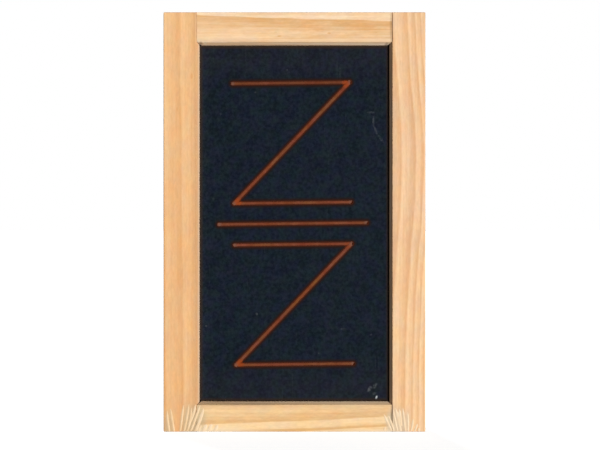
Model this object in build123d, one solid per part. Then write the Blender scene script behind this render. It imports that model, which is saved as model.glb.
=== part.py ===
from build123d import *
import os
from math import atan2, cos, degrees, hypot, radians, sin

# A slate score board: a slate panel held in the grooves of a glued wooden frame.
# The board stands on its bottom edge. X runs to the right as seen from the writing side,
# Y runs from the writing side to the back, and Z runs up. The origin is the middle of the
# bottom edge. All sizes are millimetres.

# Outline of the frame and the laths that it is made of
BOARD_WIDTH = 168.6
BOARD_HEIGHT = 270.0
LATH_THICKNESS = 12.0
STILE_WIDTH = 22.8
TOP_RAIL_WIDTH = 20.8
BOTTOM_RAIL_WIDTH = 19.0
BEVEL_WIDTH = 1.6
BEVEL_DEPTH = 2.5
ARRIS_ROUND = 0.3
OUTER_ROUND = 0.7

# Glued corner joints: the ends of the rails are cut to the profile of the stiles and undercut below
# the face, and the shoulders stand a little open at the left and more at the right
GLUE_GAP = 0.08
UNDERCUT = 0.8
LEFT_SHOULDER_GAP = 0.3
RIGHT_SHOULDER_GAP = 0.4
TENON_END_GAP = 0.5

# Slate panel and the groove that holds it
SLATE_THICKNESS = 3.5
SLATE_FIT = 0.3
GROOVE_DEPTH = 6.0
SLATE_EDGE_GAP = 0.8

# Score marks, engraved in the slate and filled with paint. The margins are the bare slate
# between the marks and the edges of the opening, and the shifts are from the opening's middle.
MARK_SHIFT_X = -1.05
MARK_SHIFT_Z = -0.15
MARK_TILT_DEGREES = 0.7
MARK_WIDTH = 2.2
MARK_DEPTH = 0.5
PAINT_THICKNESS = 0.4
CENTRE_LINE_MARGIN = 12.5
Z_SIDE_MARGIN = 22.5
Z_END_MARGIN = 22.7
Z_TO_CENTRE_LINE = 13.5

# Brads that pin the corner joints, driven in from the back
BRAD_DIAMETER = 1.2
BRAD_TIP_COVER = 2.5
BRAD_HEAD_DIAMETER = 2.0
BRAD_HEAD_THICKNESS = 0.6
BRAD_FIT = 0.05

# Places that follow from the sizes above
GROOVE_WIDTH = SLATE_THICKNESS + SLATE_FIT
OPENING_HALF_WIDTH = BOARD_WIDTH / 2 - STILE_WIDTH
OPENING_BOTTOM = BOTTOM_RAIL_WIDTH
OPENING_TOP = BOARD_HEIGHT - TOP_RAIL_WIDTH
OPENING_MIDDLE = (OPENING_BOTTOM + OPENING_TOP) / 2
BACK_FACE = LATH_THICKNESS / 2
SLATE_FRONT = -SLATE_THICKNESS / 2


def planed_profile(width, grown=0.0):
    """Section of a lath: x from its outer edge to its grooved inner edge, y through its thickness.

    The inner edge can be grown, all but its arrises with the faces.
    """
    face = LATH_THICKNESS / 2
    groove = GROOVE_WIDTH / 2
    upper_half = [
        (width - GROOVE_DEPTH, groove),
        (width + grown, groove),
        (width + grown, face - BEVEL_DEPTH),
        (width - BEVEL_WIDTH, face),
        (0, face),
    ]
    lower_half = [(x, -y) for x, y in reversed(upper_half)]
    return Polygon(*upper_half, *lower_half, align=None)


def lath_profile(width):
    """The same section with the arrises of its bevels eased."""
    profile = planed_profile(width)
    wall_middle = (GROOVE_WIDTH / 2 + LATH_THICKNESS / 2 - BEVEL_DEPTH) / 2
    arrises = [corner for corner in profile.vertices() if corner.X > 0 and abs(corner.Y) > wall_middle]
    return fillet(arrises, ARRIS_ROUND)


def sanded_outline():
    """The whole frame's outer block, with its arrises rounded as sandpaper leaves them."""
    block = Pos(0, 0, BOARD_HEIGHT / 2) * Box(BOARD_WIDTH, LATH_THICKNESS, BOARD_HEIGHT)
    return fillet(block.edges(), OUTER_ROUND)


def stile_plane(side):
    """Plane of a stile's section: side -1 is the left stile and +1 the right one."""
    return Plane(origin=(side * BOARD_WIDTH / 2, 0, 0), x_dir=(-side, 0, 0), z_dir=(0, 0, 1))


def stile(side):
    """Upright lath that runs the full height of the board."""
    return extrude(stile_plane(side) * lath_profile(STILE_WIDTH), amount=BOARD_HEIGHT)


def cope_cutter(side, shoulder_gap):
    """Stile grown by the undercut and the glue gap, which cuts a rail's end to shoulder and tenon."""
    profile = offset(planed_profile(STILE_WIDTH, UNDERCUT), amount=GLUE_GAP, kind=Kind.INTERSECTION)
    cutter = extrude(stile_plane(side) * profile, amount=BOARD_HEIGHT)
    return Pos(-side * shoulder_gap, 0, 0) * cutter


def rail(outer_edge, inwards, width):
    """Cross lath between the stiles: inwards is +1 from the bottom edge and -1 from the top edge."""
    half_length = OPENING_HALF_WIDTH + GROOVE_DEPTH - TENON_END_GAP
    section = Plane(origin=(-half_length, 0, outer_edge), x_dir=(0, 0, inwards), z_dir=(1, 0, 0))
    blank = extrude(section * lath_profile(width), amount=2 * half_length)
    return blank - cope_cutter(-1, LEFT_SHOULDER_GAP) - cope_cutter(1, RIGHT_SHOULDER_GAP)


def brad_places():
    """Middle of each corner's tenon, as x and z on the back of the board."""
    column = OPENING_HALF_WIDTH + GROOVE_DEPTH / 2
    bottom = (BOTTOM_RAIL_WIDTH - GROOVE_DEPTH) / 2
    top = BOARD_HEIGHT - (TOP_RAIL_WIDTH - GROOVE_DEPTH) / 2
    return [(x, z) for z in (bottom, top) for x in (-column, column)]


def brad(x, z, grow=0.0):
    """Round wire brad with its head flush with the back face; grow makes the hole that it sits in."""
    seat = Plane(origin=(x, BACK_FACE, z), z_dir=(0, -1, 0))
    shank_length = LATH_THICKNESS - BRAD_TIP_COVER
    shank = extrude(seat * Circle(BRAD_DIAMETER / 2 + grow), amount=shank_length + grow)
    head = extrude(seat * Circle(BRAD_HEAD_DIAMETER / 2 + grow), amount=BRAD_HEAD_THICKNESS + grow)
    return shank + head


def mark_plane(depth):
    """Plane of the score marks, sunk by depth into the slate's front face and facing the reader."""
    tilt = radians(MARK_TILT_DEGREES)
    along_bars = (cos(tilt), 0, sin(tilt))
    centre = (MARK_SHIFT_X, SLATE_FRONT + depth, OPENING_MIDDLE + MARK_SHIFT_Z)
    return Plane(origin=centre, x_dir=along_bars, z_dir=(0, -1, 0))


def stroke(start, end):
    """Straight line of the engraving tool, with round ends."""
    run = (end[0] - start[0], end[1] - start[1])
    middle = Pos((start[0] + end[0]) / 2, (start[1] + end[1]) / 2)
    turn = Rot(0, 0, degrees(atan2(run[1], run[0])))
    return middle * turn * SlotCenterToCenter(hypot(*run), MARK_WIDTH)


def z_mark():
    """The upper Z: two bars joined by a diagonal, above the centre line."""
    low = Z_TO_CENTRE_LINE
    high = OPENING_TOP - OPENING_MIDDLE - Z_END_MARGIN - MARK_WIDTH / 2
    reach = OPENING_HALF_WIDTH - Z_SIDE_MARGIN - MARK_WIDTH / 2
    bars = stroke((-reach, high), (reach, high)) + stroke((-reach, low), (reach, low))
    return bars + stroke((-reach, low), (reach, high))


def centre_mark():
    """The long line that parts the two sides of the board."""
    reach = OPENING_HALF_WIDTH - CENTRE_LINE_MARGIN - MARK_WIDTH / 2
    return stroke((-reach, 0), (reach, 0))


def mark_shapes():
    """Flat shape of each score mark; the lower Z is the upper one turned half a turn."""
    return {
        "upper_z_mark": z_mark(),
        "centre_line_mark": centre_mark(),
        "lower_z_mark": Rot(0, 0, 180) * z_mark(),
    }


def slate_panel():
    """Slate that stands in the bottom groove, with the score marks engraved in its front."""
    half_width = OPENING_HALF_WIDTH + GROOVE_DEPTH - SLATE_EDGE_GAP
    bottom = OPENING_BOTTOM - GROOVE_DEPTH
    top = OPENING_TOP + GROOVE_DEPTH - 2 * SLATE_EDGE_GAP
    slate = Pos(0, 0, (bottom + top) / 2) * Box(2 * half_width, SLATE_THICKNESS, top - bottom)
    for shape in mark_shapes().values():
        slate -= extrude(mark_plane(0) * shape, amount=-MARK_DEPTH)
    return slate


def build():
    """Every piece of the board, by its name."""
    outline = sanded_outline()
    brads = [brad(x, z) for x, z in brad_places()]
    holes = [brad(x, z, BRAD_FIT) for x, z in brad_places()]
    laths = {
        "left_stile": stile(-1),
        "right_stile": stile(1),
        "top_rail": rail(BOARD_HEIGHT, -1, TOP_RAIL_WIDTH),
        "bottom_rail": rail(0, 1, BOTTOM_RAIL_WIDTH),
    }
    pieces = {name: (lath & outline) - holes for name, lath in laths.items()}
    pieces["slate_panel"] = slate_panel()
    for name, shape in mark_shapes().items():
        pieces[name] = extrude(mark_plane(MARK_DEPTH) * shape, amount=PAINT_THICKNESS)
    pieces["corner_brads"] = Compound(children=brads)
    return pieces


os.makedirs("parts", exist_ok=True)
for name, piece in build().items():
    export_step(piece, f"parts/{name}.step")
    print(f"{name}: {len(piece.solids())} solids, {piece.volume:.1f} mm3")
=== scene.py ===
from math import atan2, cos, degrees, hypot, radians, sin

import bpy
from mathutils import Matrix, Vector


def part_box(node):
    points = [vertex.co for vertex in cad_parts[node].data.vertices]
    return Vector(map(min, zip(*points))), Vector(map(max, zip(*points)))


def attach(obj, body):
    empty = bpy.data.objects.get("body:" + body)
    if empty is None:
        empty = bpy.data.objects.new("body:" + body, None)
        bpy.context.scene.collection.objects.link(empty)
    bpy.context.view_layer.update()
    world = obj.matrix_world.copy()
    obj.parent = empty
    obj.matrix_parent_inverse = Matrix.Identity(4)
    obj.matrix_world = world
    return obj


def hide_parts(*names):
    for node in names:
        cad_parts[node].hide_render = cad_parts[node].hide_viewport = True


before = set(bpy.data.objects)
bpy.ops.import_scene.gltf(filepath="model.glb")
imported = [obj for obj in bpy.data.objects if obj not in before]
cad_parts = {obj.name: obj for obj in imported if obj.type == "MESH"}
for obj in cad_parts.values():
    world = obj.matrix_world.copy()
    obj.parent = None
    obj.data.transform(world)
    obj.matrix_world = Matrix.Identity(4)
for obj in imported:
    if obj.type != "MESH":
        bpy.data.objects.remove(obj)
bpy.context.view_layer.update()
bpy.ops.object.select_all(action="DESELECT")


# Laths: two stiles run the full height of the frame and two rails stand between them.
# They are pine, planed, grooved and bevelled along the inner edge, glued, sanded and oiled.
# The solids keep their shape. Each lath is cut from another part of the log and has its own grain.

MILLIMETRES = 1000.0


def solid_box(node):
    """Lowest and highest corners of a solid, in millimetres."""
    lowest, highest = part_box(node)
    return lowest * MILLIMETRES, highest * MILLIMETRES


FRONT_FACE = solid_box("left_stile")[0].y
LATH_THICKNESS = solid_box("left_stile")[1].y - FRONT_FACE
BOARD_MIDDLE = solid_box("left_stile")[1].z / 2
OPENING_LEFT = solid_box("left_stile")[1].x
OPENING_RIGHT = solid_box("right_stile")[0].x
OPENING_BOTTOM = solid_box("bottom_rail")[1].z
OPENING_TOP = solid_box("top_rail")[0].z


def display_colour(red, green, blue):
    """Linear colour of a tone given in the steps of a screen, from 0 to 255, by the usual screen curve."""
    linear = []
    for step in (red, green, blue):
        share = step / 255
        linear.append(share / 12.92 if share <= 0.04045 else ((share + 0.055) / 1.055) ** 2.4)
    return (*linear, 1.0)


def feed(tree, node, inputs):
    """Feeds the inputs of a node with sockets or plain values."""
    for name, value in inputs.items():
        if isinstance(value, bpy.types.NodeSocket):
            tree.links.new(value, node.inputs[name])
        else:
            node.inputs[name].default_value = value


def put(tree, kind, inputs, output=0, **options):
    """Adds a node with its options and inputs, and gives one of its outputs."""
    node = tree.nodes.new(kind)
    for option, value in options.items():
        setattr(node, option, value)
    feed(tree, node, inputs)
    return node.outputs[output]


def calc(tree, operation, first, second=0.0):
    """One step of arithmetic on sockets or plain numbers."""
    return put(tree, "ShaderNodeMath", {0: first, 1: second}, operation=operation)


def add(tree, total, part, weight=1.0):
    """Total plus a part times its weight."""
    return put(tree, "ShaderNodeMath", {0: part, 1: weight, 2: total}, operation="MULTIPLY_ADD")


def fade(tree, value, start, end, low=0.0, high=1.0):
    """Smooth change from low, where the value is at start, to high, where it is at end."""
    limits = {"Value": value, "From Min": start, "From Max": end, "To Min": low, "To Max": high}
    return put(tree, "ShaderNodeMapRange", limits, interpolation_type="SMOOTHSTEP")


def noise(tree, place, waves, detail=2.0, roughness=0.5):
    """Cloudy noise from -0.5 to 0.5; waves is how many there are to a millimetre along each axis."""
    stretched = put(tree, "ShaderNodeMapping", {"Vector": place, "Scale": waves})
    settings = {"Vector": stretched, "Scale": 1.0, "Detail": detail, "Roughness": roughness}
    return calc(tree, "SUBTRACT", put(tree, "ShaderNodeTexNoise", settings), 0.5)


def blend(tree, share, first, second, way="MIX"):
    """Mix of two colours, from the first at share 0 to the second at share 1."""
    # A mix node has its two colours at inputs 6 and 7, and the mixed colour at output 2
    colours = {0: share, 6: first, 7: second}
    return put(tree, "ShaderNodeMix", colours, output=2, data_type="RGBA", blend_type=way)


def tinted(tree, colour, tint, share=1.0):
    """Colour times a share of a tint."""
    return blend(tree, share, colour, tint, "MULTIPLY")


def patchy(tree, place, colour, tints, contrast):
    """Colour with cloudy patches, from pairs of tints that each have their own waves along each axis."""
    for waves, first_tint, second_tint in tints:
        clouds = noise(tree, place, waves, detail=3.0, roughness=0.6)
        tint = blend(tree, add(tree, 0.5, clouds, contrast), first_tint, second_tint)
        colour = tinted(tree, colour, tint)
    return colour


def distance(tree, place, origin=(0.0, 0.0, 0.0)):
    """How far a place is from an origin."""
    return put(tree, "ShaderNodeVectorMath", {0: place, 1: origin}, output="Value", operation="DISTANCE")


def seen_from(tree, place, centre, turn=0.0, size=(1.0, 1.0, 1.0)):
    """A place as seen from a centre that is turned clockwise, in degrees, and measured in its own size."""
    seat = {"Vector": place, "Location": centre, "Rotation": (0, radians(turn), 0), "Scale": size}
    return put(tree, "ShaderNodeMapping", seat, vector_type="TEXTURE")


SPOT_CORE = 0.3


def spot(tree, place, centre, size, turn=0.0):
    """Soft oval spot, from 1 in its core to 0 at its rim; size is its three half axes."""
    return fade(tree, distance(tree, seen_from(tree, place, centre, turn, size)), start=1.0, end=SPOT_CORE)


def dabbed(tree, place, ground, centre, size, share, colour):
    """Ground colour with a share of another colour in a soft spot on it."""
    dab = calc(tree, "MULTIPLY", spot(tree, place, centre, size), share)
    return blend(tree, dab, ground, colour)


def board_place(tree):
    """Place of a point on the board, in millimetres."""
    place = put(tree, "ShaderNodeTexCoord", {}, output="Object")
    return put(tree, "ShaderNodeMapping", {"Vector": place, "Scale": (MILLIMETRES,) * 3})


def axes(tree, vector):
    """The three parts of a vector."""
    return put(tree, "ShaderNodeSeparateXYZ", {0: vector}).node.outputs


def bumps(tree, relief, strength, depth):
    """Bumps of a surface; depth is how many millimetres one step of the relief stands up."""
    settings = {"Height": relief, "Strength": strength, "Distance": depth / MILLIMETRES}
    return put(tree, "ShaderNodeBump", settings)


def drawn_profile(tree, share, stops):
    """Value drawn through stops of (share, value), the first at share 0 and the last at share 1."""
    node = tree.nodes.new("ShaderNodeValToRGB")
    elements = node.color_ramp.elements
    first, *between, last = [(position, (value, value, value, 1.0)) for position, value in stops]
    elements[0].color = first[1]
    elements[1].color = last[1]
    for position, grey in between:
        elements.new(position).color = grey
    feed(tree, node, {0: share})
    return node.outputs[0]


def node_material(name):
    """New material with its node tree and surface shader."""
    material = bpy.data.materials.new(name)
    material.use_nodes = True
    return material, material.node_tree, material.node_tree.nodes["Principled BSDF"]


def dress(piece, material):
    """Gives a piece one material all over."""
    piece.data.materials.clear()
    piece.data.materials.append(material)


def growth_rings(tree, grain, depth, ring_edge, rings, growth_angle, pith_distance):
    """Tone of the growth rings: early wood that darkens outwards from the pith and ends at a sharp edge."""
    angle = radians(growth_angle)
    pith = (ring_edge - pith_distance * cos(angle), FRONT_FACE - pith_distance * sin(angle), 0.0)
    from_pith = distance(tree, put(tree, "ShaderNodeCombineXYZ", {0: grain, 1: depth}), pith)
    inwards = calc(tree, "SUBTRACT", pith_distance, from_pith)
    ring_run = rings[-1][0]
    ring_share = calc(tree, "FRACT", calc(tree, "DIVIDE", inwards, ring_run * abs(cos(angle))))
    return drawn_profile(tree, ring_share, [(inset / ring_run, tone) for inset, tone in rings])


SLATE_DUST = display_colour(100, 92, 92)
CHALK_DUST = display_colour(225, 215, 200)


def soiled_and_shaded(tree, place, wood, from_edge, mottle, smudges_and_painted_light):
    """Wood with slate dust rubbed in beside its bevel, smudges (some of them painted shade and some painted
    highlights), and chalk dust along the bevel itself.
    """
    wood = blend(tree, fade(tree, from_edge, start=5.0, end=1.2, high=0.15), wood, SLATE_DUST)
    for patch_x, patch_z, half_width, half_height, share, colour in smudges_and_painted_light:
        patch_size = (half_width, LATH_THICKNESS / 2, half_height)
        wood = dabbed(tree, place, wood, (patch_x, FRONT_FACE, patch_z), patch_size, share, colour)
    dusty = add(tree, fade(tree, from_edge, start=1.3, end=0.3, high=0.3), mottle, weight=0.3)
    by_slate = fade(tree, from_edge, start=1.5, end=1.0)
    return blend(tree, calc(tree, "MULTIPLY", dusty, by_slate), wood, CHALK_DUST)


# Cooler and warmer wood, then pinker and greener wood
WOOD_TINTS = [
    ((0.14, 0.14, 0.07), (0.956, 1.0, 1.075, 1.0), (1.044, 1.0, 0.925, 1.0)),
    ((0.2, 0.2, 0.1), (1.0, 0.967, 1.0, 1.0), (1.0, 1.033, 1.0, 1.0)),
]
KNOT_BLUSH = (0.96, 0.97, 1.04, 1.0)
BLUSH_PER_MILLIMETRE = 0.14
END_GRAIN_TINT = display_colour(220, 204, 184)
GRAIN_WANDER = 2.0
PALEST_TONE = 0.12
NO_BULGE = (0.0, 0.0, 1.0)


def dress_lath(
    node, level, inner_edge, pale, dark, ring_edge, rings, growth_angle, pith_distance, drift,
    bulge=NO_BULGE, tone_spots=(), smudges_and_painted_light=(),
):
    """Dresses one lath in pine, with growth rings round a pith that lies outside the lath.

    level: whether the lath lies level, as a rail does. inner_edge: place of its bevelled edge.
    pale and dark: colours of its early and late wood.
    ring_edge: place across the front face where a ring ends, at the lath's middle.
    rings: how dark the wood is, as (millimetres from that edge towards the pith, tone) on the front face,
    until it repeats.
    growth_angle: way outwards from the pith, from across the face (0) to straight out of it (-90).
    drift: how far the grain runs off for each millimetre along.
    bulge: how far the grain swings out past a knot, the place of that, and its reach along the lath.
    tone_spots: broad clouds and short resin marks, as (x, z, half width, half height, tone).
    smudges: soiled, worn and oily places, and places of painted shade and painted highlight, as (x, z, half
    width, half height, share, colour).
    """
    material, tree, shader = node_material(f"{node}_pine")
    place = board_place(tree)
    x, y, z = axes(tree, place)
    across, along, middle = (z, x, 0.0) if level else (x, z, BOARD_MIDDLE)
    lath_place = put(tree, "ShaderNodeCombineXYZ", {0: across, 1: y, 2: along})

    # Grain: the place across the lath with drift, bulge and small bends taken out
    swing, swing_place, swing_reach = bulge
    from_swing = calc(tree, "DIVIDE", calc(tree, "SUBTRACT", along, swing_place), swing_reach)
    swing_share = calc(tree, "EXPONENT", calc(tree, "MULTIPLY", calc(tree, "POWER", from_swing, 2.0), -1.0))
    grain = add(tree, across, calc(tree, "SUBTRACT", along, middle), -drift)
    grain = add(tree, grain, swing_share, -swing)
    grain = add(tree, grain, noise(tree, lath_place, waves=(0.09, 0.09, 0.022)), GRAIN_WANDER)
    ring_tone = growth_rings(tree, grain, y, ring_edge, rings, growth_angle, pith_distance)

    # Tone: rings, fibres along the lath, broad clouds and resin
    streaks = noise(tree, lath_place, waves=(0.8, 0.8, 0.012), detail=5.0, roughness=0.62)
    hairs = noise(tree, lath_place, waves=(4.0, 4.0, 0.12))
    mottle = noise(tree, lath_place, waves=(0.45, 0.45, 0.11), detail=3.0)
    clouds = noise(tree, lath_place, waves=(0.06, 0.06, 0.018))
    resin_clouds = noise(tree, lath_place, waves=(1.5, 1.5, 0.2), detail=1.0)
    resin = fade(tree, resin_clouds, start=0.17, end=0.28)
    tone = PALEST_TONE
    weights = [(ring_tone, 0.75), (streaks, 0.9), (hairs, 0.45), (mottle, 0.5), (clouds, 0.5), (resin, 0.28)]
    for pattern, weight in weights:
        tone = add(tree, tone, pattern, weight)
    for spot_x, spot_z, half_width, half_height, spot_tone in tone_spots:
        spot_size = (half_width, LATH_THICKNESS, half_height)
        tone = add(tree, tone, spot(tree, place, (spot_x, FRONT_FACE, spot_z), spot_size), spot_tone)

    # Colour of the long faces, and the darker end grain that shows the rings as arcs
    normal = axes(tree, put(tree, "ShaderNodeTexCoord", {}, output="Normal"))
    facing_along = calc(tree, "ABSOLUTE", normal[0] if level else normal[2])
    end_grain = fade(tree, facing_along, start=0.6, end=0.9)
    blush = calc(tree, "MULTIPLY", swing_share, BLUSH_PER_MILLIMETRE * swing)
    long_face = tinted(tree, blend(tree, tone, pale, dark), KNOT_BLUSH, blush)
    long_face = patchy(tree, lath_place, long_face, WOOD_TINTS, contrast=2.8)
    short_fibres = noise(tree, lath_place, waves=(1.1, 1.1, 0.35))
    long_face = tinted(tree, long_face, add(tree, 1.0, short_fibres, weight=0.2))
    wood = blend(tree, end_grain, long_face, tinted(tree, long_face, END_GRAIN_TINT))

    from_edge = calc(tree, "ABSOLUTE", calc(tree, "SUBTRACT", across, inner_edge))
    # Slate dust, then smudges with painted shade and painted highlights among them, then chalk dust
    wood = soiled_and_shaded(tree, place, wood, from_edge, mottle, smudges_and_painted_light)

    # Sanded and oiled surface: late wood stands a little proud and shines a little more
    relief = add(tree, add(tree, ring_tone, streaks, weight=0.5), hairs, weight=0.6)
    feed(tree, shader, {
        "Base Color": wood,
        "Normal": bumps(tree, relief, strength=0.35, depth=0.05),
        "Roughness": add(tree, 0.64, tone, weight=-0.12),
        "Specular IOR Level": 0.25,
    })
    dress(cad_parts[node], material)


# Olive painted shade between the pale strokes of the fans at the bottom corners
OLIVE_PAINTED_SHADE = display_colour(178, 170, 140)
# Pale greyish soil, used as painted shade between the pale strokes of the right fan and as a smudge at the
# left end of the top rail's bevel
PALE_SOIL_AND_SHADE = display_colour(205, 196, 172)
# Dark soil in the right joints, also used as painted shade in the top rail's inner corners and along the
# bottom bevel
DARK_SOIL_AND_SHADE = display_colour(112, 80, 48)
WORN_WOOD = display_colour(248, 232, 205)
WARM_OIL = display_colour(240, 184, 122)
# Painted highlight along the bevelled edges of the rails
PAINTED_ARRIS_HIGHLIGHT = display_colour(255, 216, 170)

dress_lath(
    "left_stile", level=False, inner_edge=OPENING_LEFT,
    pale=display_colour(246, 199, 146), dark=display_colour(229, 171, 114),
    ring_edge=-72.15, rings=[(0.0, 0.6), (0.5, 0.95), (4.0, 0.65), (9.6, 0.2), (10.4, 0.4)],
    growth_angle=-70, pith_distance=200.0, drift=-0.0083,
    tone_spots=[
        (-66.0, 228.8, 1.0, 2.2, 0.6), (-75.4, 207.6, 0.6, 1.8, 0.5),
        (-73.0, 0.0, 60.0, 220.0, 0.1), (-73.0, 270.0, 60.0, 120.0, -0.12),
    ],
    # Painted shade between the pale strokes of the left fan
    smudges_and_painted_light=[(-66.5, 6.0, 9.3, 16.0, 0.55, OLIVE_PAINTED_SHADE), (-81.0, 2.0, 5.5, 16.0, 0.45, OLIVE_PAINTED_SHADE)],
)
dress_lath(
    "right_stile", level=False, inner_edge=OPENING_RIGHT,
    pale=display_colour(254, 213, 165), dark=display_colour(229, 175, 122),
    ring_edge=83.5, rings=[
        (0.0, 0.4), (0.4, 1.0), (1.6, 0.5), (3.0, 0.2),
        (3.5, 0.5), (3.9, 1.05), (5.2, 0.5), (6.5, 0.15),
        (7.0, 0.5), (7.4, 1.05), (9.0, 0.5), (10.7, 0.15),
        (11.2, 0.5), (11.6, 1.1), (14.0, 0.55), (17.1, 0.1),
        (17.6, 0.5), (18.0, 0.95), (19.5, 0.6), (21.0, 0.4),
    ],
    growth_angle=-50, pith_distance=70.0, drift=0.0, bulge=(7.0, 172.0, 72.0),
    # Painted shade between the pale strokes of the right fan
    smudges_and_painted_light=[(67.0, 5.0, 10.0, 15.0, 0.5, PALE_SOIL_AND_SHADE)],
)
dress_lath(
    "top_rail", level=True, inner_edge=OPENING_TOP,
    pale=display_colour(254, 223, 184), dark=display_colour(225, 171, 111),
    ring_edge=266.1, rings=[
        (0.0, 0.4), (0.5, 1.0), (5.2, 0.75),
        (5.8, 0.9), (9.6, 0.5),
        (10.2, 0.65), (14.5, 0.15), (16.5, 0.0), (17.0, 0.05),
    ],
    growth_angle=-45, pith_distance=120.0, drift=-0.029,
    tone_spots=[
        (-9.8, 254.5, 1.8, 0.5, 0.7), (22.3, 256.4, 1.6, 0.5, 0.7),
        (-30.0, 256.5, 48.0, 6.0, -0.25), (45.0, 262.5, 36.0, 5.0, 0.2), (10.0, 251.5, 90.0, 6.0, 0.15),
    ],
    smudges_and_painted_light=[
        # Warm oil, then a painted highlight along the bevel's edge
        (-48.0, 259.5, 46.0, 8.5, 0.3, WARM_OIL), (30.0, 251.8, 80.0, 1.9, 0.4, PAINTED_ARRIS_HIGHLIGHT),
        # Painted shade in both inner corners, a pale smudge, and dark soil along the right joint
        (-60.3, 249.3, 2.0, 1.9, 0.8, DARK_SOIL_AND_SHADE), (-57.4, 250.2, 1.3, 1.3, 0.35, PALE_SOIL_AND_SHADE),
        (59.5, 249.0, 2.2, 1.9, 0.85, DARK_SOIL_AND_SHADE), (61.9, 260.0, 0.9, 14.0, 0.3, DARK_SOIL_AND_SHADE),
    ],
)
dress_lath(
    "bottom_rail", level=True, inner_edge=OPENING_BOTTOM,
    pale=display_colour(253, 217, 166), dark=display_colour(226, 177, 118),
    ring_edge=0.4, rings=[
        (0.0, 0.3), (0.5, 1.3), (1.3, 1.2), (2.3, 0.35), (3.6, 0.05), (6.2, 0.0),
        (6.6, 0.5), (7.0, 1.0), (9.2, 0.8), (12.5, 0.45), (17.5, 0.3), (20.0, 0.2),
    ],
    growth_angle=-135, pith_distance=120.0, drift=0.045,
    smudges_and_painted_light=[
        # Painted shade between the pale strokes of both fans
        (-62.0, 8.0, 7.0, 14.0, 0.5, OLIVE_PAINTED_SHADE), (63.0, 6.0, 6.0, 13.0, 0.6, PALE_SOIL_AND_SHADE),
        (-62.0, 0.0, 62.0, 3.4, 0.4, WORN_WOOD), (52.0, 0.0, 30.0, 2.4, 0.35, WORN_WOOD),
        # Dark soil in the right joint, and painted shade along the bottom bevel
        (62.2, 9.0, 0.6, 10.0, 0.6, DARK_SOIL_AND_SHADE), (-38.0, 17.8, 44.0, 1.5, 0.25, DARK_SOIL_AND_SHADE),
        # Painted highlight along the bevel
        (44.0, 18.3, 48.0, 1.5, 0.6, PAINTED_ARRIS_HIGHLIGHT),
    ],
)


# Slate: a thin sheet of blue-black stone that stands loose in the grooves of the laths.
# Its front is ground smooth and engraved with the score lines; paint wiped off them has left a dark
# red stain beside them, and chalk has left specks and scuffs. Its back is left riven.

SLATE_FRONT = solid_box("slate_panel")[0].y
OPENING_HALF_WIDTH = (OPENING_RIGHT - OPENING_LEFT) / 2
OPENING_MIDDLE = (OPENING_BOTTOM + OPENING_TOP) / 2

# Figure of the score lines, from its own centre. The margins are the bare slate between lines and frame.
LINE_HALF_WIDTH = 1.1
CENTRE_LINE_MARGIN = 12.5
Z_SIDE_MARGIN = 22.5
Z_END_MARGIN = 22.7
FIGURE_SHIFT_X = -1.05
FIGURE_SHIFT_Z = -0.15
FIGURE_TILT = 0.7
FIGURE_CENTRE = (FIGURE_SHIFT_X, OPENING_MIDDLE + FIGURE_SHIFT_Z)
CENTRE_REACH = OPENING_HALF_WIDTH - CENTRE_LINE_MARGIN - LINE_HALF_WIDTH
BAR_REACH = OPENING_HALF_WIDTH - Z_SIDE_MARGIN - LINE_HALF_WIDTH
NEAR_BAR = 13.5
FAR_BAR = OPENING_TOP - OPENING_MIDDLE - Z_END_MARGIN - LINE_HALF_WIDTH
# The upper Z is its far bar, near bar and diagonal; the lower one is the same turned half a turn
UPPER_Z = [
    ((-BAR_REACH, FAR_BAR), (BAR_REACH, FAR_BAR)),
    ((-BAR_REACH, NEAR_BAR), (BAR_REACH, NEAR_BAR)),
    ((-BAR_REACH, NEAR_BAR), (BAR_REACH, FAR_BAR)),
]
LOWER_Z = [((-end[0], -end[1]), (-start[0], -start[1])) for start, end in UPPER_Z]
CENTRE_LINE = [((-CENTRE_REACH, 0.0), (CENTRE_REACH, 0.0))]


def score_line(start, end):
    """Middle of a score line on the slate, its half length and its turn in degrees."""
    tilt = radians(FIGURE_TILT)
    right, up = (start[0] + end[0]) / 2, (start[1] + end[1]) / 2
    middle_x = FIGURE_CENTRE[0] + right * cos(tilt) - up * sin(tilt)
    middle_z = FIGURE_CENTRE[1] + right * sin(tilt) + up * cos(tilt)
    run_x, run_z = end[0] - start[0], end[1] - start[1]
    return (middle_x, middle_z), hypot(run_x, run_z) / 2, FIGURE_TILT + degrees(atan2(run_z, run_x))


DIAGONAL_SPILL = 0.15
POOL_REACH = 2.7
POOL_SHARES = [0.7, 0.7, 0.25, 0.7]


def is_diagonal(start, end):
    """Whether a score line is one of the two diagonals."""
    return start[1] != end[1]


def paint_pools():
    """Pools of paint in the notches between the diagonals and their bars: place on the slate and share."""
    notches = []
    for start, end in [line for line in UPPER_Z + LOWER_Z if is_diagonal(*line)]:
        half_turn = atan2(end[1] - start[1], end[0] - start[0]) / 2
        run_x, run_z = POOL_REACH * cos(half_turn), POOL_REACH * sin(half_turn)
        notches += [(end[0] - run_x, end[1] - run_z), (start[0] + run_x, start[1] + run_z)]
    return [(*score_line(notch, notch)[0], share) for notch, share in zip(notches, POOL_SHARES)]


# Each colour of stone from dark to light, then the tints of bluer and redder slate
BLUE_SLATE = (display_colour(12, 19, 34), display_colour(28, 34, 49))
GREEN_SLATE = (display_colour(11, 22, 29), display_colour(26, 38, 44))
SLATE_TINTS = [((0.2, 0.2, 0.2), (0.84, 1.0, 1.05, 1.0), (1.16, 1.0, 0.95, 1.0))]


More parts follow.
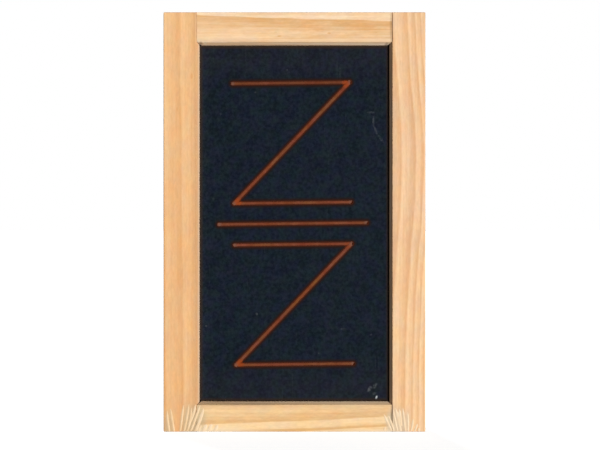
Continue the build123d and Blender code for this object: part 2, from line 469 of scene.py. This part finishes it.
def bare_stone(tree, place):
    """Ground slate, cloudy and finely mottled."""
    mottle = noise(tree, place, waves=(0.45, 0.45, 0.45), detail=4.0, roughness=0.65)
    clouds = noise(tree, place, waves=(0.12, 0.12, 0.12))
    hue_clouds = noise(tree, place, waves=(0.16, 0.16, 0.16))
    tone = add(tree, add(tree, 0.5, clouds, weight=1.2), mottle, weight=3.2)
    green_share = fade(tree, hue_clouds, start=-0.15, end=0.15)
    stone = blend(tree, green_share, blend(tree, tone, *BLUE_SLATE), blend(tree, tone, *GREEN_SLATE))
    return patchy(tree, place, stone, SLATE_TINTS, contrast=2.8)


DARK_STAIN = display_colour(39, 20, 12)
RED_STAIN = display_colour(85, 34, 12)
POOL_STAIN = display_colour(124, 50, 12)
STAIN_POOL_SIZE = (2.6, 2.6, 2.6)


def stained(tree, place, stone):
    """Stone with a stain round each score line, red at the rim of its groove and dark farther out.

    The diagonals were filled to the brim: paint has run over their rims and into the notches where they
    meet the bars.
    """
    dark_stain, red_stain = 0.0, 0.0
    for start, end in UPPER_Z + CENTRE_LINE + LOWER_Z:
        (middle_x, middle_z), half_length, turn = score_line(start, end)
        from_middle = seen_from(tree, place, (middle_x, SLATE_FRONT, middle_z), -turn)
        along, depth, beside = axes(tree, from_middle)
        past_end = calc(tree, "SUBTRACT", calc(tree, "ABSOLUTE", along), half_length)
        past_end = calc(tree, "MAXIMUM", past_end, 0.0)
        from_line = distance(tree, put(tree, "ShaderNodeCombineXYZ", {0: past_end, 1: depth, 2: beside}))
        spill = DIAGONAL_SPILL if is_diagonal(start, end) else 0.0
        dark_ring = fade(tree, from_line, start=3.8, end=1.7, high=0.85)
        red_ring = fade(tree, from_line, start=1.9 + spill, end=1.0 + spill, high=0.85)
        dark_stain = calc(tree, "MAXIMUM", dark_stain, dark_ring)
        red_stain = calc(tree, "MAXIMUM", red_stain, red_ring)
    stone = blend(tree, dark_stain, stone, DARK_STAIN)
    stone = blend(tree, red_stain, stone, RED_STAIN)
    for pool_x, pool_z, share in paint_pools():
        stone = dabbed(tree, place, stone, (pool_x, SLATE_FRONT, pool_z), STAIN_POOL_SIZE, share, POOL_STAIN)
    return stone


BROWN_DUST = display_colour(120, 90, 80)
# Brown of oil soaked into the rim, also standing for painted shade and painted light thrown back from the
# wood
OILED_AND_SHADED_STONE = display_colour(50, 36, 24)


def rimmed(tree, place, stone):
    """Stone with brown dust towards the top and bottom, and a brown band along its rim beside the frame: oil
    soaked in from the frame, with painted shade of the recess's corner and painted warm light thrown back
    from the wood.
    """
    x, y, z = axes(tree, place)
    from_centre_line = calc(tree, "ABSOLUTE", calc(tree, "SUBTRACT", z, FIGURE_CENTRE[1]))
    dust = fade(tree, from_centre_line, start=85.0, end=108.0, high=0.02)
    stone = blend(tree, dust, stone, BROWN_DUST)
    from_side = calc(tree, "SUBTRACT", OPENING_HALF_WIDTH, calc(tree, "ABSOLUTE", x))
    from_bottom = calc(tree, "SUBTRACT", z, OPENING_BOTTOM)
    from_top = calc(tree, "SUBTRACT", OPENING_TOP, z)
    # Brown rim: oil from the frame, and painted shade with painted warm light thrown back from the wood
    oil_and_shade = fade(tree, from_side, start=2.9, end=0.3, high=0.85)
    for from_rail in (from_bottom, from_top):
        oil_and_shade = calc(tree, "MAXIMUM", oil_and_shade, fade(tree, from_rail, start=2.6, end=0.2, high=0.85))
    return blend(tree, oil_and_shade, stone, OILED_AND_SHADED_STONE)


CHALK_WHITE = display_colour(204, 210, 212)
CHALK_DEPTH = 1.0
# Each mark: x, z, half width, half height, turn in degrees, strength
CHALK_MARKS = [
    (-5.0, 233.6, 1.0, 1.0, 0, 0.035), (-25.3, 219.3, 0.9, 0.9, 0, 0.035),
    (-47.6, 205.1, 1.0, 1.0, 0, 0.04), (-52.5, 149.9, 1.0, 1.0, 0, 0.04),
    (-24.5, 75.3, 1.0, 1.2, 0, 0.05), (-57.3, 67.5, 1.0, 1.0, 0, 0.04),
    (49.7, 61.7, 1.0, 1.0, 0, 0.04), (15.7, 50.0, 0.9, 0.9, 0, 0.035),
    (49.5, 206.0, 3.2, 1.0, 0, 0.045), (51.2, 200.5, 1.0, 4.2, 0, 0.045),
    (52.6, 194.6, 1.0, 4.2, -22, 0.04), (56.2, 188.8, 1.0, 5.2, -38, 0.035),
    (27.7, 233.6, 0.8, 7.6, 0, 0.012), (29.6, 232.0, 0.8, 6.5, 0, 0.01),
    (31.6, 65.6, 2.6, 0.9, 0, 0.03), (53.2, 21.2, 0.9, 1.6, 15, 0.8),
    (48.6, 26.6, 1.5, 2.8, 35, 0.09), (52.2, 28.6, 1.5, 2.8, 35, 0.06),
    (51.7, 23.7, 1.9, 1.2, 0, 0.07),
]


def chalked(tree, place, stone):
    """Stone with a little chalk dust at the left, faint scratches, then specks, dashes and scuffs."""
    left_dust = fade(tree, axes(tree, place)[0], start=-52.0, end=-62.0, high=0.006)
    scratch_lines = noise(tree, place, waves=(1.1, 1.0, 0.035), detail=1.0)
    scratches = fade(tree, scratch_lines, start=0.16, end=0.3, high=0.008)
    chalk = add(tree, left_dust, scratches)
    for mark_x, mark_z, half_width, half_height, turn, strength in CHALK_MARKS:
        mark_size = (half_width, CHALK_DEPTH, half_height)
        chalk = add(tree, chalk, spot(tree, place, (mark_x, SLATE_FRONT, mark_z), mark_size, turn), strength)
    crumbs = noise(tree, place, waves=(0.9, 0.9, 0.9))
    crumbly = fade(tree, crumbs, start=-0.12, end=0.12, low=0.4, high=1.2)
    return blend(tree, calc(tree, "MULTIPLY", chalk, crumbly), stone, CHALK_WHITE)


def slate_stone():
    """Slate with a ground front, and wide low steps on its back where the layers split."""
    material, tree, shader = node_material("slate_stone")
    place = board_place(tree)
    stone = bare_stone(tree, place)
    for layer in (stained, rimmed, chalked):
        stone = layer(tree, place, stone)
    ground_relief = noise(tree, place, waves=(1.2, 1.2, 1.2), detail=4.0, roughness=0.6)
    riven_relief = noise(tree, place, waves=(0.06, 0.06, 0.025), detail=6.0, roughness=0.65)
    riven_weight = fade(tree, axes(tree, place)[1], start=1.0, end=1.7, high=12.0)
    relief = add(tree, ground_relief, riven_relief, riven_weight)
    feed(tree, shader, {
        "Base Color": stone,
        "Normal": bumps(tree, relief, strength=0.4, depth=0.08),
        "Roughness": 0.75,
        "Specular IOR Level": 0.06,
    })
    return material


dress(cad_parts["slate_panel"], slate_stone())


# Score marks: a Z, a long line and a second Z, engraved in the slate and filled with red oil paint.
# Each line is one stroke of the brush along its groove, where the paint has dried a little below the
# slate. The diagonals have a second coat, which laps over the rims of the groove.

GROOVE_FLOOR = solid_box("centre_line_mark")[1].y
PAINT_SINK = 0.08
PAINT_CROWN = 0.03
PAINT_TOP = SLATE_FRONT + PAINT_SINK
PAINT_THICKNESS = GROOVE_FLOOR - PAINT_TOP - PAINT_CROWN
# Each stroke of a mark stands a hair higher than the one before, so that no faces are flush where they cross
STROKE_STEP = 0.005
SECOND_COAT_RISE = 0.05
SECOND_COAT_TOP = SLATE_FRONT - SECOND_COAT_RISE
SECOND_COAT_THICKNESS = 0.045
EDGE_WOBBLE = 0.05
END_OVERRUN = 1.0
START_DRAWN_IN = 0.55
END_SLANT = 0.8
END_CORNER_CUT = 0.6
END_CORNER_REACH = 1.0
STEPS_ALONG = 90
STEPS_ACROSS = 6
# Shares of the half width that part the outermost points and the middle ones from the others
RIM_SHARE = 0.9
CORE_SHARE = 0.5
NEARLY = 0.001


def pick_points(piece, wanted):
    """Leaves a piece in edit mode with only the points selected that the test accepts."""
    bpy.ops.object.mode_set(mode="EDIT")
    bpy.ops.mesh.select_all(action="DESELECT")
    bpy.ops.object.mode_set(mode="OBJECT")
    for point in piece.data.vertices:
        point.select = wanted(point.co)
    bpy.ops.object.mode_set(mode="EDIT")


def shift_points(piece, wanted, right=0.0, out=0.0):
    """Moves the points that the test accepts along the flat piece or out of its face."""
    pick_points(piece, wanted)
    bpy.ops.transform.translate(value=(right, 0.0, out))


def apply_modifier(piece, kind, **settings):
    """Adds a modifier to the active piece and applies it."""
    modifier = piece.modifiers.new(kind.lower(), kind)
    for setting, value in settings.items():
        setattr(modifier, setting, value)
    bpy.ops.object.modifier_apply(modifier=modifier.name)


def paint_stroke(start, end, half_width, top, thickness, seed):
    """One ribbon of paint along the groove from start to end, in millimetres."""
    (middle_x, middle_z), half_length, turn = score_line(start, end)
    half_length += END_OVERRUN
    half_width -= EDGE_WOBBLE

    # A flat grid, laid out along X and scaled to the stroke
    bpy.ops.object.select_all(action="DESELECT")
    bpy.ops.mesh.primitive_grid_add(x_subdivisions=STEPS_ALONG, y_subdivisions=STEPS_ACROSS, size=2)
    stroke = bpy.context.object
    stroke.scale = (half_length, half_width, 1)
    bpy.ops.object.transform_apply(scale=True)

    # Ends: the start is drawn in at both corners, the end is cut on the slant
    rim = half_width * RIM_SHARE
    core = half_width * CORE_SHARE
    corner = half_length - END_CORNER_REACH
    shift_points(stroke, lambda co: co.x < NEARLY - half_length and abs(co.y) > rim, right=START_DRAWN_IN)
    shift_points(stroke, lambda co: co.x > half_length - NEARLY and co.y < core, right=-END_SLANT)
    shift_points(stroke, lambda co: co.x > corner and co.y < -core, right=-END_CORNER_CUT)

    # Hand wobble of the edges, and a crown along the middle where the paint is thickest
    pick_points(stroke, lambda co: abs(co.y) > rim)
    bpy.ops.transform.vertex_random(offset=EDGE_WOBBLE, seed=seed)
    shift_points(stroke, lambda co: abs(co.y) < core, out=PAINT_CROWN)
    bpy.ops.object.mode_set(mode="OBJECT")
    apply_modifier(stroke, "SOLIDIFY", thickness=thickness, offset=-1)

    # Stood up to face the reader and laid in its groove
    stroke.rotation_euler = (radians(90), -radians(turn), 0)
    stroke.location = (middle_x, top, middle_z)
    bpy.ops.object.transform_apply(location=True, rotation=True)
    return stroke


# Red paint from dark to light, then the tints of redder and yellower, deeper and duller paint
RED_PAINT = (display_colour(109, 52, 24), display_colour(129, 71, 47))
PAINT_TINTS = [
    ((0.06, 0.06, 0.06), (1.05, 0.8, 0.96, 1.0), (0.95, 1.2, 1.04, 1.0)),
    ((0.08, 0.08, 0.08), (1.0, 1.0, 0.62, 1.0), (1.0, 1.0, 1.38, 1.0)),
]
BROWN_PAINT = display_colour(80, 46, 24)
BROWN_PAINT_SIZE = (2 * BAR_REACH, 4.0, 6.0)
BROWN_PAINT_SHARE = 0.3
# Dark red of thin paint, also painted shade of the groove's edges
THIN_PAINT_AND_GROOVE_SHADE = display_colour(52, 20, 12)
WORN_PAINT = display_colour(126, 100, 88)
PAINT_POOL = display_colour(156, 64, 14)
PAINT_POOL_SIZE = (3.6, 3.6, 3.6)


def red_paint(name, unevenness):
    """Red oil paint, browner on the top bar.

    It is thin and dark along the rims of the groove, with painted shade of the groove's edges in that
    darkness, worn pale at the ends of each stroke, and brighter in the pools where two strokes meet.
    """
    material, tree, shader = node_material(name)
    place = board_place(tree)
    blotches = noise(tree, place, waves=(0.22, 0.22, 0.22), detail=4.0, roughness=0.7)
    red = blend(tree, add(tree, 0.5, blotches, weight=2.6), *RED_PAINT)
    red = patchy(tree, place, red, PAINT_TINTS, contrast=unevenness)
    top_bar_x, top_bar_z = score_line(*UPPER_Z[0])[0]
    top_bar = (top_bar_x, PAINT_TOP, top_bar_z)
    red = dabbed(tree, place, red, top_bar, BROWN_PAINT_SIZE, BROWN_PAINT_SHARE, BROWN_PAINT)

    # Each stroke has its own map, from 0 to 1 along and across it
    stroke_place = axes(tree, put(tree, "ShaderNodeTexCoord", {}, output="UV"))
    from_middle = calc(tree, "ABSOLUTE", calc(tree, "SUBTRACT", stroke_place[0], 0.5))
    from_ridge = calc(tree, "ABSOLUTE", calc(tree, "SUBTRACT", stroke_place[1], 0.5))
    # Thin paint along both rims, with painted shade of the groove's edges
    red = blend(tree, fade(tree, from_ridge, start=0.22, end=0.5, high=0.85), red, THIN_PAINT_AND_GROOVE_SHADE)
    red = blend(tree, fade(tree, from_middle, start=0.464, end=0.488, high=0.36), red, WORN_PAINT)
    for pool_x, pool_z, share in paint_pools():
        red = dabbed(tree, place, red, (pool_x, PAINT_TOP, pool_z), PAINT_POOL_SIZE, share, PAINT_POOL)
    feed(tree, shader, {
        "Base Color": red,
        "Normal": bumps(tree, blotches, strength=0.3, depth=0.05),
        "Roughness": 0.65,
        "Specular IOR Level": 0.1,
    })
    return material


first_coat = red_paint("red_score_paint", unevenness=1.8)
second_coat = red_paint("uneven_second_coat", unevenness=3.8)


def merge_seams(piece):
    """Merges the points of the active piece that all but touch, and cuts what is left into triangles."""
    bpy.ops.object.select_all(action="DESELECT")
    piece.select_set(True)
    bpy.ops.object.mode_set(mode="EDIT")
    bpy.ops.mesh.select_all(action="SELECT")
    bpy.ops.mesh.remove_doubles(threshold=NEARLY)
    bpy.ops.mesh.dissolve_degenerate(threshold=NEARLY)
    bpy.ops.mesh.quads_convert_to_tris(quad_method="BEAUTY", ngon_method="BEAUTY")
    bpy.ops.object.mode_set(mode="OBJECT")


def score_mark(name, lines, seed):
    """Paint of one mark: its strokes joined into one body, in metres."""
    strokes, second_coats = [], []
    for number, (start, end) in enumerate(lines, seed):
        top = PAINT_TOP - STROKE_STEP * len(strokes)
        strokes.append(paint_stroke(start, end, LINE_HALF_WIDTH, top, PAINT_THICKNESS, number))
        if is_diagonal(start, end):
            half_width = LINE_HALF_WIDTH + DIAGONAL_SPILL
            coat = paint_stroke(start, end, half_width, SECOND_COAT_TOP, SECOND_COAT_THICKNESS, number)
            dress(coat, second_coat)
            second_coats.append(coat)

    # The first coats become one body, and each second coat stays a thin skin over it
    mark = strokes[0]
    bpy.context.view_layer.objects.active = mark
    for stroke in strokes[1:]:
        apply_modifier(mark, "BOOLEAN", operation="UNION", object=stroke, solver="EXACT")
        bpy.data.objects.remove(stroke)
    merge_seams(mark)
    mark.name = name
    dress(mark, first_coat)
    bpy.ops.object.select_all(action="DESELECT")
    for piece in [mark, *second_coats]:
        piece.select_set(True)
    bpy.ops.object.join()
    mark.scale = (1 / MILLIMETRES,) * 3
    bpy.ops.object.transform_apply(scale=True)
    return mark


upper_z = score_mark("painted_upper_z", UPPER_Z, seed=10)
centre_line = score_mark("painted_centre_line", CENTRE_LINE, seed=20)
lower_z = score_mark("painted_lower_z", LOWER_Z, seed=30)
for mark, node in ((upper_z, "upper_z_mark"), (centre_line, "centre_line_mark"), (lower_z, "lower_z_mark")):
    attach(mark, "root")
    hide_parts(node)


# Corner brads: headed steel wire pins, driven in from the back through each joint.
# Their heads are drawn wire ends, punched flush with the wood and gone a little dull.

BRIGHT_STEEL = display_colour(168, 166, 162)
BROWN_STEEL = display_colour(112, 98, 84)


def dull_steel():
    """Steel wire that is browner and rougher where it has tarnished."""
    material, tree, shader = node_material("dull_brad_steel")
    tarnish = noise(tree, board_place(tree), waves=(0.9, 0.9, 0.9), detail=4.0, roughness=0.6)
    feed(tree, shader, {
        "Base Color": blend(tree, fade(tree, tarnish, start=-0.15, end=0.2), BRIGHT_STEEL, BROWN_STEEL),
        "Roughness": fade(tree, tarnish, start=-0.2, end=0.2, low=0.3, high=0.6),
        "Metallic": 1.0,
    })
    return material


dress(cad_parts["corner_brads"], dull_steel())


# Pale strokes: two fans of thin cream strokes that spread upwards over the bottom corners.
# Each is brushed on as a slim raised ridge that tapers at its tip and stops at the bottom edge.

RIDGE_HEIGHT = 0.2
RIDGE_SIDES = 10
BOTTOM_TRIM = 0.75
SMOOTH_ANGLE = 50
# Girth of a stroke and its share of the bow, in even steps from foot to tip
RIDGE_ROWS = [(0.8, 0.0), (0.9, 0.55), (1.0, 0.9), (1.0, 1.0), (1.0, 0.9), (0.85, 0.55), (0.25, 0.0)]
# Each stroke: x and z of its tip, x and z of its foot, how far its middle bows to the right, half width
LEFT_FAN = [
    (-81.9, 13.6, -80.2, 0.0, -0.3, 0.75), (-79.7, 15.0, -77.3, 0.0, 0.0, 0.75),
    (-71.4, 17.2, -73.5, 0.0, 0.1, 0.75), (-67.8, 18.0, -71.0, 0.0, 0.2, 0.75),
    (-66.3, 15.4, -69.1, 0.0, 0.7, 0.75), (-63.6, 17.6, -67.4, 5.5, 0.5, 0.75),
    (-60.6, 17.3, -66.8, 0.0, 0.1, 0.75), (-58.4, 15.0, -63.8, 0.0, 0.3, 1.05),
    (-60.0, 4.4, -62.1, 0.0, 0.0, 0.8), (-56.4, 4.8, -59.1, 0.0, 0.0, 1.15),
    (-53.2, 5.0, -55.5, 0.0, 0.0, 1.15), (-49.3, 4.6, -51.4, 0.0, 0.0, 1.1),
]
RIGHT_FAN = [
    (57.5, 11.4, 62.9, 0.0, -0.1, 0.75), (60.4, 10.4, 64.0, 0.0, 0.3, 0.65),
    (63.5, 14.4, 66.5, 0.0, -0.2, 0.65), (65.0, 15.2, 68.6, 0.0, 0.1, 0.85),
    (66.4, 13.0, 67.9, 4.5, 0.1, 0.85), (67.5, 14.6, 68.7, 4.0, 0.0, 0.85),
    (69.7, 15.2, 71.4, 0.0, 0.0, 0.7), (72.8, 12.6, 73.1, 0.0, 0.1, 0.65),
    (76.3, 8.5, 74.9, 0.0, 0.2, 0.65), (79.1, 5.2, 77.1, 0.0, 0.0, 0.65),
    (80.0, 2.6, 79.9, 0.0, 0.0, 0.65), (58.3, 3.2, 57.6, 0.0, 0.0, 0.65),
]


def tapered_ridge(bow):
    """One stroke of unit half width, relief and length: a slim bowed bar that tapers at its tip."""
    bpy.ops.object.select_all(action="DESELECT")
    bpy.ops.mesh.primitive_cylinder_add(vertices=RIDGE_SIDES, radius=1, depth=1, location=(0, 0, 0.5))
    ridge = bpy.context.object
    bpy.ops.object.transform_apply(location=True)

    # The long edges are cut into even rows, and each row gets its girth and its share of the bow
    bpy.ops.object.mode_set(mode="EDIT")
    bpy.ops.mesh.select_mode(type="EDGE")
    bpy.ops.mesh.select_all(action="DESELECT")
    bpy.ops.object.mode_set(mode="OBJECT")
    for edge in ridge.data.edges:
        first, second = (ridge.data.vertices[number].co for number in edge.vertices)
        edge.select = first.z != second.z
    bpy.ops.object.mode_set(mode="EDIT")
    steps = len(RIDGE_ROWS) - 1
    bpy.ops.mesh.subdivide(number_cuts=steps - 1)
    bpy.ops.mesh.select_mode(type="VERT")
    for number, (girth, bow_share) in enumerate(RIDGE_ROWS):
        height = number / steps
        pick_points(ridge, lambda co: abs(co.z - height) < 0.5 / steps)
        bpy.ops.transform.resize(value=(girth, girth, 1), center_override=(0, 0, height))
        bpy.ops.transform.translate(value=(bow * bow_share, 0, 0))
    bpy.ops.object.mode_set(mode="OBJECT")
    return ridge


def stroke_fan(name, strokes):
    """A fan of ridges laid on the front face from foot to tip, trimmed along the bottom edge of the board."""
    ridges = []
    for tip_x, tip_z, foot_x, foot_z, bow, half_width in strokes:
        ridge = tapered_ridge(bow / half_width)
        ridge.scale = (half_width, RIDGE_HEIGHT, hypot(tip_x - foot_x, tip_z - foot_z))
        ridge.rotation_euler = (0, atan2(tip_x - foot_x, tip_z - foot_z), 0)
        ridge.location = (foot_x, FRONT_FACE, foot_z)
        bpy.ops.object.transform_apply(location=True, rotation=True, scale=True)
        ridges.append(ridge)

    # Joined, trimmed, smoothed and brought to metres
    bpy.ops.object.select_all(action="DESELECT")
    for ridge in ridges:
        ridge.select_set(True)
    fan = ridges[0]
    bpy.context.view_layer.objects.active = fan
    bpy.ops.object.join()
    fan.name = name
    bpy.ops.object.mode_set(mode="EDIT")
    bpy.ops.mesh.select_all(action="SELECT")
    bpy.ops.mesh.bisect(plane_co=(0, 0, BOTTOM_TRIM), plane_no=(0, 0, 1), clear_inner=True, use_fill=True)
    bpy.ops.object.mode_set(mode="OBJECT")
    bpy.ops.object.shade_smooth_by_angle(angle=radians(SMOOTH_ANGLE))
    fan.scale = (1 / MILLIMETRES,) * 3
    bpy.ops.object.transform_apply(scale=True)
    return fan


CREAM = (display_colour(240, 203, 155), display_colour(250, 228, 197))


def cream_paint():
    """Thin cream paint, deeper in colour at the far left."""
    material, tree, shader = node_material("cream_stroke_paint")
    place = board_place(tree)
    thin = noise(tree, place, waves=(0.7, 0.7, 0.25), detail=3.0, roughness=0.6)
    paler = fade(tree, axes(tree, place)[0], start=-70.0, end=-55.0, low=0.1, high=0.55)
    feed(tree, shader, {
        "Base Color": blend(tree, add(tree, paler, thin, weight=1.5), *CREAM),
        "Normal": bumps(tree, thin, strength=0.3, depth=0.05),
        "Roughness": 0.65,
        "Specular IOR Level": 0.2,
    })
    return material


pale_paint = cream_paint()
left_fan = stroke_fan("left_pale_strokes", LEFT_FAN)
right_fan = stroke_fan("right_pale_strokes", RIGHT_FAN)
for fan in (left_fan, right_fan):
    dress(fan, pale_paint)
    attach(fan, "root")


# Floor: a wide sheet of white paper that the board stands on. It glows a little, so that it stays as
# white as the background, and it throws no light back, because the board's recess is in clear shade.

FLOOR_METRES = 30
WHITE = (1.0, 1.0, 1.0, 1.0)
PAPER_GREY = (0.3, 0.3, 0.3, 1.0)

bpy.ops.object.select_all(action="DESELECT")
bpy.ops.mesh.primitive_plane_add(size=FLOOR_METRES)
floor = bpy.context.object
floor.name = "floor"
white_paper, tree, paper_shader = node_material("white_paper")
feed(tree, paper_shader, {
    "Base Color": PAPER_GREY,
    "Roughness": 0.9,
    "Specular IOR Level": 0.0,
    "Emission Color": WHITE,
    "Emission Strength": 0.93,
})
dress(floor, white_paper)
floor.visible_diffuse = False
floor.visible_glossy = False
floor.visible_shadow = False


# Light: a soft lamp to the right of the camera, a little below the middle of the board, a second one
# high behind the board for its back and top edges, and a dim white room around them.

KEY_BEARING = 32.0
KEY_HEIGHT = -5.0
KEY_STRENGTH = 3.35
KEY_SPREAD = 14.0
BACK_BEARING = 215.0
BACK_HEIGHT = 40.0
BACK_STRENGTH = 4.3
BACK_SPREAD = 25.0
ROOM_GLOW = 0.12


def soft_sun(name, bearing, height, strength, spread):
    """Even light from far away; bearing 0 is in front of the board and 90 to its right, in degrees."""
    bpy.ops.object.light_add(type="SUN", rotation=(radians(90 - height), 0, radians(bearing)))
    sun = bpy.context.object
    sun.name = name
    sun.data.energy = strength
    sun.data.angle = radians(spread)


soft_sun("key_lamp", KEY_BEARING, KEY_HEIGHT, KEY_STRENGTH, KEY_SPREAD)
soft_sun("back_lamp", BACK_BEARING, BACK_HEIGHT, BACK_STRENGTH, BACK_SPREAD)

room = bpy.data.worlds.new("white_room")
bpy.context.scene.world = room
room.use_nodes = True
tree = room.node_tree
tree.nodes.clear()
seen_by_camera = put(tree, "ShaderNodeLightPath", {}, output="Is Camera Ray")
dim = put(tree, "ShaderNodeBackground", {"Color": WHITE, "Strength": ROOM_GLOW})
bright = put(tree, "ShaderNodeBackground", {"Color": WHITE, "Strength": 1.0})
surround = put(tree, "ShaderNodeMixShader", {0: seen_by_camera, 1: dim, 2: bright})
feed(tree, tree.nodes.new("ShaderNodeOutputWorld"), {"Surface": surround})
bpy.context.scene.view_settings.view_transform = "Standard"


# Camera: square on to the board, a little right of its middle and just below it, 45 cm from its face.
# Its lens takes in the whole board with a narrow white margin above and below.

CAMERA_RIGHT = 3.58
CAMERA_HEIGHT = 133.04
CAMERA_DISTANCE = 450.0
SENSOR_WIDTH = 36.0
FOCAL_LENGTH = 42.0

camera_place = (CAMERA_RIGHT, FRONT_FACE - CAMERA_DISTANCE, CAMERA_HEIGHT)
bpy.ops.object.camera_add(
    location=[place / MILLIMETRES for place in camera_place], rotation=(radians(90), 0, 0)
)
camera = bpy.context.object
camera.data.sensor_width = SENSOR_WIDTH
camera.data.lens = FOCAL_LENGTH
bpy.context.scene.camera = camera
